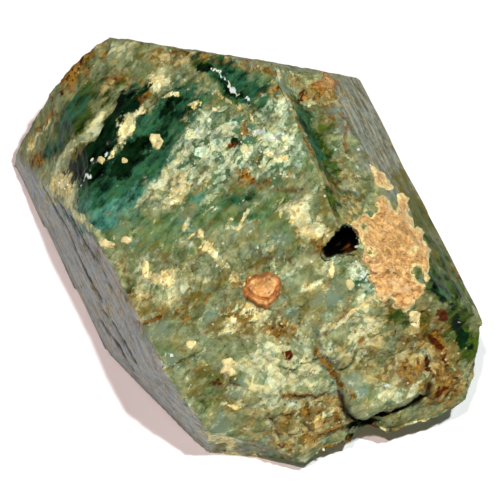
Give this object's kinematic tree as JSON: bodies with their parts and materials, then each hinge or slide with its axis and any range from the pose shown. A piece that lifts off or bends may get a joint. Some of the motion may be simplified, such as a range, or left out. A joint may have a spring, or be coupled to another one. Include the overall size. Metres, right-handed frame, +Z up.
{
  "type": "apatite crystal",
  "caption": "Stubby prismatic green apatite crystal lying on its side, broken at one end, with a tan calcite crust and a dark pit on its shoulder.",
  "frame": {"origin": "centre of the bounding box, at the level of the flat break that the crystal rests on", "axes": "+Y along the prism's long axis towards the end with natural faces, +Z up from the face it rests on, +X to the side with the calcite crust"},
  "size_m": [0.0656, 0.0904, 0.0435],
  "materials": {
    "apatite": "mottled green, glassy in places and sugary in others",
    "calcite": "matt and crumbly",
    "orange_calcite": "matt"
  },
  "bodies": {
    "root": {"apatite_crystal": "apatite", "calcite_crust": "calcite", "calcite_strip": "calcite", "calcite_grain": "orange_calcite"}
  },
  "joints": []
}
